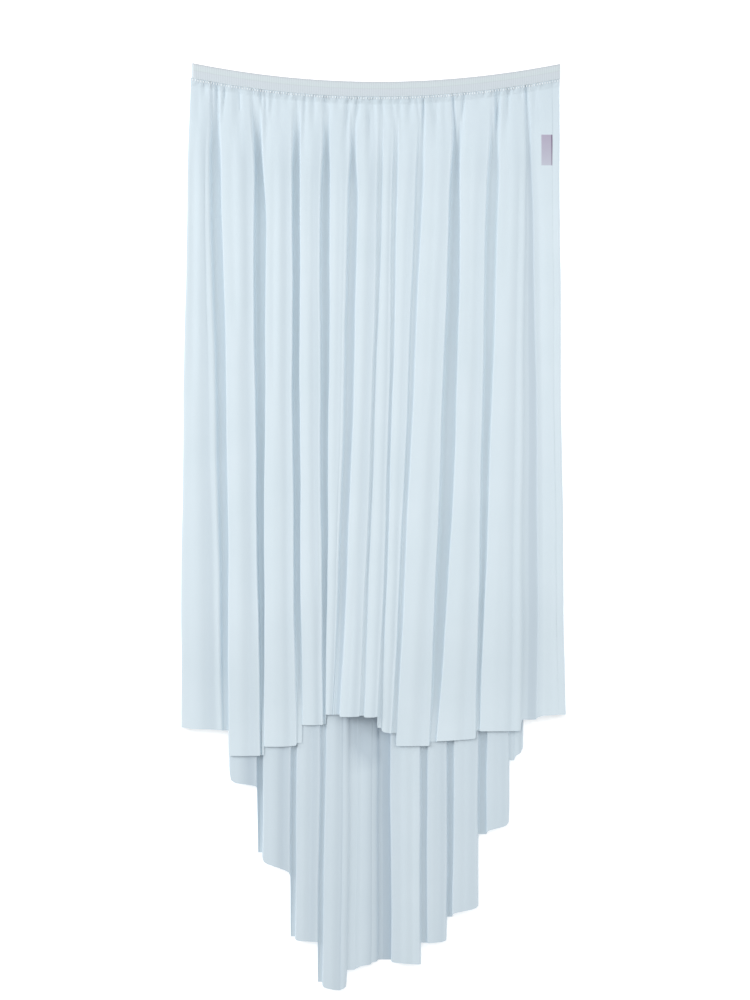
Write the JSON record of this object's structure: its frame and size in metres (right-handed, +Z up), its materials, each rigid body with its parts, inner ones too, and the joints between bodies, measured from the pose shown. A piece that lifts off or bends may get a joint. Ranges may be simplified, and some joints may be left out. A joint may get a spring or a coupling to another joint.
{
  "type": "ballet skirt",
  "caption": "High-low dance skirt of sheer pale mesh gathered onto a flat ribbed elastic waistband, laid flat with its front up and its longer back showing below.",
  "frame": {"origin": "on the surface that the skirt lies on, under the middle of its bounding box", "axes": "+Y along the skirt's length towards the waist, +X to the viewer's right, +Z up off the surface, out of the skirt's front"},
  "size_m": [0.3122, 0.7526, 0.0171],
  "materials": {
    "skirt_mesh": "sheer matt stretch mesh",
    "ribbed_elastic": "ribbed woven elastic with a soft sheen",
    "label_ribbon": "satin ribbon"
  },
  "bodies": {
    "root": {"waistband": "ribbed_elastic", "front_panel": "skirt_mesh", "back_panel": "skirt_mesh", "label": "label_ribbon"}
  },
  "joints": []
}
